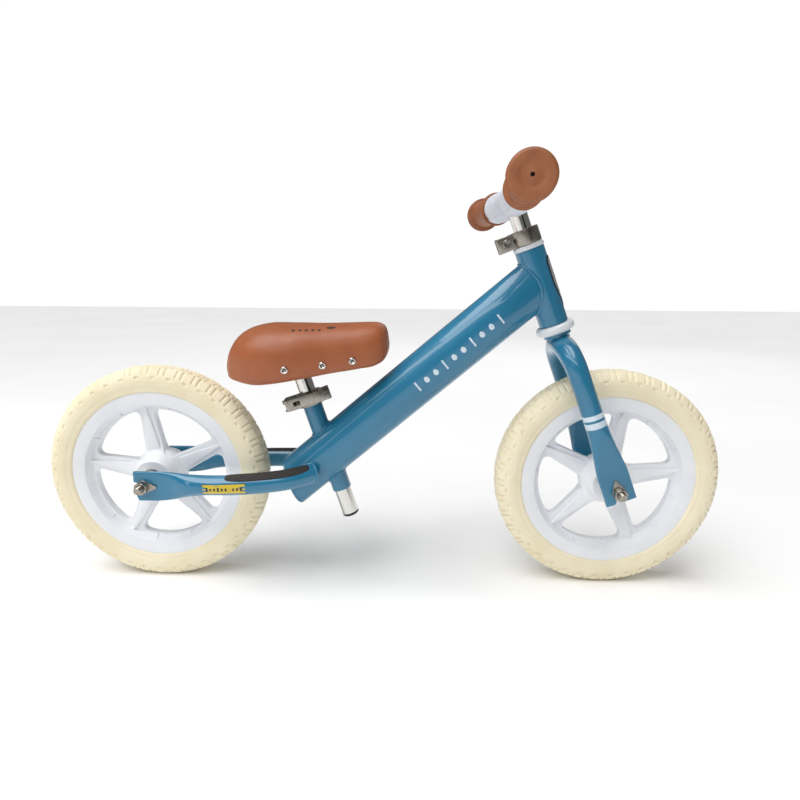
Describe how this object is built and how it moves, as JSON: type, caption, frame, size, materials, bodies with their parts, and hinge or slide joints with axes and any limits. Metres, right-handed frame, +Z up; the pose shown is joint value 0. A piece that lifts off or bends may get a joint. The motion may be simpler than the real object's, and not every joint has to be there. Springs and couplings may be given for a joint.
{
  "type": "balance bike",
  "caption": "Child's pedal-less balance bike with a single sloping main tube, foam tyres on spoked plastic wheels, and a saddle and handlebar that clamp at any height.",
  "frame": {"origin": "on the ground, midway between the wheels and in the bike's middle plane: the middle of the bounding box's underside", "axes": "+X forward along the wheelbase, +Y to the rider's left along the wheel axles, +Z up"},
  "size_m": [0.883, 0.3724, 0.5181],
  "materials": {
    "teal_paint": "gloss powder coat, teal blue",
    "chrome_plate": "bright chrome plate",
    "zinc_steel": "bright zinc plate",
    "white_plastic": "moulded white plastic, satin",
    "foam_tyre": "moulded cream foam",
    "saddle_leather": "smooth brown artificial leather",
    "grip_rubber": "matte brown rubber",
    "pad_foam": "soft white foam",
    "black_plastic": "moulded black",
    "grip_tape": "black anti-slip tape",
    "badge_foil": "silver film"
  },
  "bodies": {
    "fork": {"bar_clamp_bolt": "zinc_steel", "bar_clamp_collar": "zinc_steel", "bar_clamp_nut": "zinc_steel", "fork": "teal_paint", "front_axle": "zinc_steel", "front_axle_nut_left": "zinc_steel", "front_axle_nut_right": "zinc_steel", "front_spacer_left": "zinc_steel", "front_spacer_right": "zinc_steel", "front_tab_washer_left": "zinc_steel", "front_tab_washer_right": "zinc_steel"},
    "handlebar": {"bar_pad": "pad_foam", "grip_left": "grip_rubber", "grip_right": "grip_rubber", "handlebar": "chrome_plate"},
    "frame": {"footrest_left": "grip_tape", "footrest_right": "grip_tape", "frame": "teal_paint", "head_badge": "badge_foil", "headset_lower_cup": "white_plastic", "headset_upper_cup": "white_plastic", "main_tube_cap": "teal_paint", "rear_axle": "zinc_steel", "rear_axle_nut_left": "zinc_steel", "rear_axle_nut_right": "zinc_steel", "rear_spacer_left": "zinc_steel", "rear_spacer_right": "zinc_steel", "rear_tab_washer_left": "zinc_steel", "rear_tab_washer_right": "zinc_steel", "seat_clamp_bolt": "zinc_steel", "seat_clamp_collar": "zinc_steel", "seat_clamp_nut": "zinc_steel", "seat_clamp_pin": "zinc_steel"},
    "front_wheel": {"front_bearing_left": "zinc_steel", "front_bearing_right": "zinc_steel", "front_rim": "white_plastic", "front_tyre": "foam_tyre"},
    "rear_wheel": {"rear_bearing_left": "zinc_steel", "rear_bearing_right": "zinc_steel", "rear_rim": "white_plastic", "rear_tyre": "foam_tyre"},
    "saddle": {"saddle_bolt_front": "zinc_steel", "saddle_bolt_rear": "zinc_steel", "saddle_cushion": "saddle_leather", "saddle_pan": "black_plastic", "saddle_rivet_front_left": "zinc_steel", "saddle_rivet_front_right": "zinc_steel", "saddle_rivet_middle_left": "zinc_steel", "saddle_rivet_middle_right": "zinc_steel", "saddle_rivet_rear_left": "zinc_steel", "saddle_rivet_rear_right": "zinc_steel", "seat_post": "chrome_plate", "seat_post_plug": "black_plastic"},
    "clamp_lever": {"seat_clamp_lever": "chrome_plate"}
  },
  "joints": [
    {"name": "steering", "type": "hinge", "parent": "frame", "child": "fork", "pos_m": [0.2965, 0, 0.145], "axis": [-0.3665, 0, 0.9304], "continuous": true},
    {"name": "front_wheel_spin", "type": "hinge", "parent": "fork", "child": "front_wheel", "pos_m": [0.2965, 0, 0.145], "axis": [0, 1, 0], "continuous": true},
    {"name": "rear_wheel_spin", "type": "hinge", "parent": "frame", "child": "rear_wheel", "pos_m": [-0.2965, 0, 0.145], "axis": [0, 1, 0], "continuous": true},
    {"name": "bar_height", "type": "slide", "parent": "fork", "child": "handlebar", "axis": [-0.3665, 0, 0.9304], "range_m": [-0.01, 0.055]},
    {"name": "seat_height", "type": "slide", "parent": "frame", "child": "saddle", "axis": [-0.309, 0, 0.9511], "range_m": [-0.012, 0.065]},
    {"name": "clamp_release", "type": "hinge", "parent": "frame", "child": "clamp_lever", "pos_m": [-0.11783, -0.015, 0.24271], "axis": [0.309, 0, -0.9511], "range_deg": [0, 115]}
  ]
}
